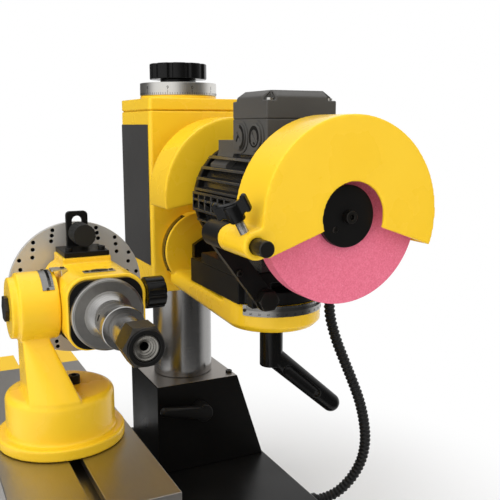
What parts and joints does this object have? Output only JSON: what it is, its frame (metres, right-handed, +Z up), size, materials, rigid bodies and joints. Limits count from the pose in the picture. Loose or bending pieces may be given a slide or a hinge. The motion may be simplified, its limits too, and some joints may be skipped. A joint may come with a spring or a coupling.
{
  "type": "tool and cutter grinder",
  "caption": "Bench grinder for tools and cutters: a motor head with guarded wheels lifts, tilts and swivels on a post beside a feed table with an indexing collet workhead.",
  "frame": {"origin": "centre of the base's foot, on the floor plane", "axes": "+Z up; +X the way the front grinding wheel faces; +Y away from the operator"},
  "size_m": [0.6233, 0.6163, 0.6993],
  "materials": {
    "yellow_paint": "gloss",
    "black_paint": "satin",
    "black_plastic": "satin",
    "dark_steel": "blackened",
    "steel": "ground",
    "bronze": "machined",
    "abrasive": "grainy"
  },
  "bodies": {
    "base": {"base": "black_paint", "base_plate": "dark_steel", "pedestal": "black_paint", "base_gland": "black_plastic", "conduit": "black_plastic"},
    "column_lever": {"column_lever": "black_paint"},
    "column": {"post": "steel", "lift_nut": "bronze"},
    "sleeve": {"sleeve": "yellow_paint", "sleeve_cap": "yellow_paint"},
    "lift_dial": {"lift_screw": "steel", "lift_dial": "steel", "lift_knob": "black_plastic"},
    "arm": {"knee_arm": "yellow_paint", "arm_scales": "steel", "tilt_stud": "dark_steel"},
    "head_lever": {"head_lever": "black_paint"},
    "head": {"head_stud": "dark_steel", "swivel_block": "black_paint", "motor_plate": "black_paint", "motor_body": "black_paint", "end_shields": "black_paint", "stator": "dark_steel", "motor_bearings": "steel", "terminal_box": "black_plastic", "terminal_lid": "black_plastic", "entry_plugs": "black_plastic", "box_gland": "black_plastic", "guard_arm": "black_paint", "guard_rod": "dark_steel", "guard_bolt": "dark_steel", "rear_guard": "yellow_paint"},
    "rotor": {"motor_shaft": "steel", "rotor_core": "dark_steel", "front_wheel": "abrasive", "rear_wheel": "abrasive", "wheel_flanges": "black_paint", "wheel_screws": "dark_steel"},
    "front_guard": {"front_guard": "yellow_paint"},
    "wing_knob": {"wing_knob": "black_plastic"},
    "saddle": {"saddle": "yellow_paint"},
    "cross_wheel": {"cross_screw": "steel", "cross_handwheel": "black_paint"},
    "table": {"table": "steel"},
    "table_wheel": {"table_screw": "steel", "table_handwheel": "black_paint"},
    "work_base": {"work_base": "yellow_paint", "tilt_nut": "dark_steel"},
    "work_head": {"work_housing": "yellow_paint", "front_plate": "black_paint", "nose_ring": "steel", "index_bracket": "black_paint", "zero_plate": "steel"},
    "work_spindle": {"work_spindle": "steel", "collet_nut": "dark_steel", "collet": "steel", "index_disc": "steel"},
    "plunger": {"index_plunger": "dark_steel"},
    "work_knob": {"work_knob": "black_plastic"}
  },
  "joints": [
    {"name": "column_swivel", "type": "hinge", "parent": "base", "child": "column", "pos_m": [-0.107, 0.1125, 0.232], "axis": [0, 0, 1], "range_deg": [-5, 60], "deforming": ["conduit"]},
    {"name": "column_lever_turn", "type": "hinge", "parent": "base", "child": "column_lever", "pos_m": [-0.04, 0.1125, 0.19], "axis": [1, 0, 0], "range_deg": [-30, 30]},
    {"name": "head_lift", "type": "slide", "parent": "column", "child": "sleeve", "axis": [0, 0, 1], "range_m": [-0.065, 0.06], "deforming": ["conduit"]},
    {"name": "lift_dial_turn", "type": "hinge", "parent": "sleeve", "child": "lift_dial", "pos_m": [-0.107, 0.1125, 0.66], "axis": [0, 0, 1], "continuous": true},
    {"name": "arm_tilt", "type": "hinge", "parent": "sleeve", "child": "arm", "pos_m": [-0.0387, 0.1125, 0.436], "axis": [1, 0, 0], "range_deg": [-30, 15], "deforming": ["conduit"]},
    {"name": "head_swivel", "type": "hinge", "parent": "arm", "child": "head", "pos_m": [0.15, 0.135, 0.404], "axis": [0, 0, 1], "range_deg": [-12, 12], "deforming": ["conduit"]},
    {"name": "head_lever_turn", "type": "hinge", "parent": "arm", "child": "head_lever", "pos_m": [0.15, 0.135, 0.37], "axis": [0, 0, 1], "range_deg": [-45, 45]},
    {"name": "rotor_spin", "type": "hinge", "parent": "head", "child": "rotor", "pos_m": [0.1575, 0.135, 0.52], "axis": [1, 0, 0], "continuous": true},
    {"name": "guard_slide", "type": "slide", "parent": "head", "child": "front_guard", "axis": [1, 0, 0], "range_m": [0, 0.012]},
    {"name": "wing_knob_turn", "type": "hinge", "parent": "front_guard", "child": "wing_knob", "pos_m": [0.311, 0.027, 0.499], "axis": [0, -0.4664, 0.8846], "range_deg": [-90, 90]},
    {"name": "cross_feed", "type": "slide", "parent": "base", "child": "saddle", "axis": [0, 1, 0], "range_m": [-0.03, 0.03]},
    {"name": "cross_wheel_turn", "type": "hinge", "parent": "base", "child": "cross_wheel", "pos_m": [0.195, -0.225, 0.1394], "axis": [0, 1, 0], "continuous": true},
    {"name": "table_feed", "type": "slide", "parent": "saddle", "child": "table", "axis": [1, 0, 0], "range_m": [-0.06, 0.06]},
    {"name": "table_wheel_turn", "type": "hinge", "parent": "table", "child": "table_wheel", "pos_m": [0.3, -0.121, 0.1947], "axis": [1, 0, 0], "continuous": true},
    {"name": "work_swivel", "type": "hinge", "parent": "table", "child": "work_base", "pos_m": [0.115, -0.121, 0.2553], "axis": [0, 0, 1], "range_deg": [-60, 30]},
    {"name": "work_tilt", "type": "hinge", "parent": "work_base", "child": "work_head", "pos_m": [0.115, -0.122, 0.413], "axis": [0, 1, 0], "range_deg": [-8, 40]},
    {"name": "spindle_spin", "type": "hinge", "parent": "work_head", "child": "work_spindle", "pos_m": [0.115, -0.081, 0.413], "axis": [1, 0, 0], "continuous": true},
    {"name": "plunger_travel", "type": "slide", "parent": "work_head", "child": "plunger", "axis": [1, 0, 0], "range_m": [-0.005, 0]},
    {"name": "work_knob_turn", "type": "hinge", "parent": "work_head", "child": "work_knob", "pos_m": [0.162, -0.03, 0.426], "axis": [0, 1, 0], "range_deg": [-90, 90]}
  ],
  "couplings": [
    {"joint": "lift_dial_turn", "follows": "head_lift", "rad_per_m": 1256.6},
    {"joint": "cross_wheel_turn", "follows": "cross_feed", "rad_per_m": 1256.6},
    {"joint": "table_wheel_turn", "follows": "table_feed", "rad_per_m": 1256.6}
  ]
}
